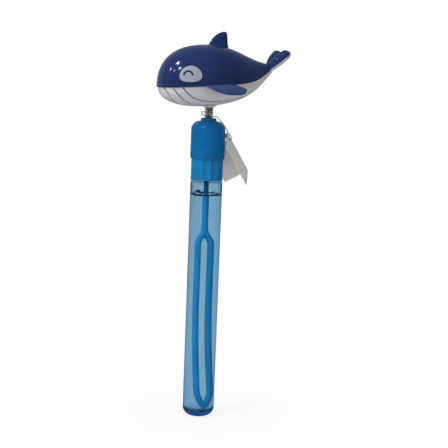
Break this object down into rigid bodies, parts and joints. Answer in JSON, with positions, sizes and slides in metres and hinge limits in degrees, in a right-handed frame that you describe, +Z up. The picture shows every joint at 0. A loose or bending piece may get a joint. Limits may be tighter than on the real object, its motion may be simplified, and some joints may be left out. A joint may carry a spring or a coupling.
{
  "type": "bubble_wand",
  "caption": "Bubble wand with a clear stick bottle, a fluted blue screw cap and dome, and a toy whale that bobs on a coil spring.",
  "frame": {"origin": "The middle of the small flat face under the tube's foot.", "axes": "+Z runs up the tube, the whale faces -X, and its left side is -Y."},
  "size_m": [0.0935, 0.0602, 0.2681],
  "materials": {
    "clear_tube": "clear and glossy",
    "washer_foam": "matte foam",
    "ring_blue": "semi-gloss moulded",
    "dome_blue": "semi-gloss moulded",
    "wand_blue": "semi-gloss moulded",
    "spring_steel": "drawn wire",
    "belly_white": "semi-gloss moulded",
    "whale_navy": "glossy moulded",
    "flipper_blue": "glossy moulded",
    "patch_white": "semi-gloss print",
    "eye_black": "semi-gloss print",
    "tag_card": "coated card",
    "loop_nylon": "translucent"
  },
  "bodies": {
    "bottle": {"tube": "clear_tube"},
    "cap_seal": {"seal_washer": "washer_foam"},
    "cap": {"screw_cap": "ring_blue", "cap_dome": "dome_blue", "wand": "wand_blue", "spring_post": "dome_blue"},
    "spring": {"wobble_spring": "spring_steel"},
    "whale": {"spring_plug": "belly_white", "whale_belly": "belly_white", "whale_back": "whale_navy", "left_flipper": "flipper_blue", "right_flipper": "flipper_blue", "left_eye_patch": "patch_white", "right_eye_patch": "patch_white", "left_eye": "eye_black", "right_eye": "eye_black"},
    "tag": {"tag_card": "tag_card", "tag_loop": "loop_nylon"}
  },
  "joints": [
    {"name": "cap_lift", "type": "slide", "parent": "bottle", "child": "cap_seal", "axis": [0, 0, 1], "range_m": [0, 0.19]},
    {"name": "cap_turn", "type": "hinge", "parent": "cap_seal", "child": "cap", "pos_m": [0, 0, 0.18], "axis": [0, 0, 1], "range_deg": [0, 540]},
    {"name": "whale_nod", "type": "hinge", "parent": "cap", "child": "spring", "pos_m": [0, 0, 0.211], "axis": [0, 1, 0], "range_deg": [-25, 25], "stiffness_Nm_per_rad": 0.12, "deforming": ["wobble_spring"]},
    {"name": "whale_sway", "type": "hinge", "parent": "spring", "child": "whale", "pos_m": [0, 0, 0.214], "axis": [1, 0, 0], "range_deg": [-25, 25], "stiffness_Nm_per_rad": 0.12, "deforming": ["wobble_spring"]},
    {"name": "tag_swing", "type": "hinge", "parent": "cap", "child": "tag", "pos_m": [0, 0, 0.2105], "axis": [0.3419, -0.9397, 0], "range_deg": [0, 20]}
  ]
}
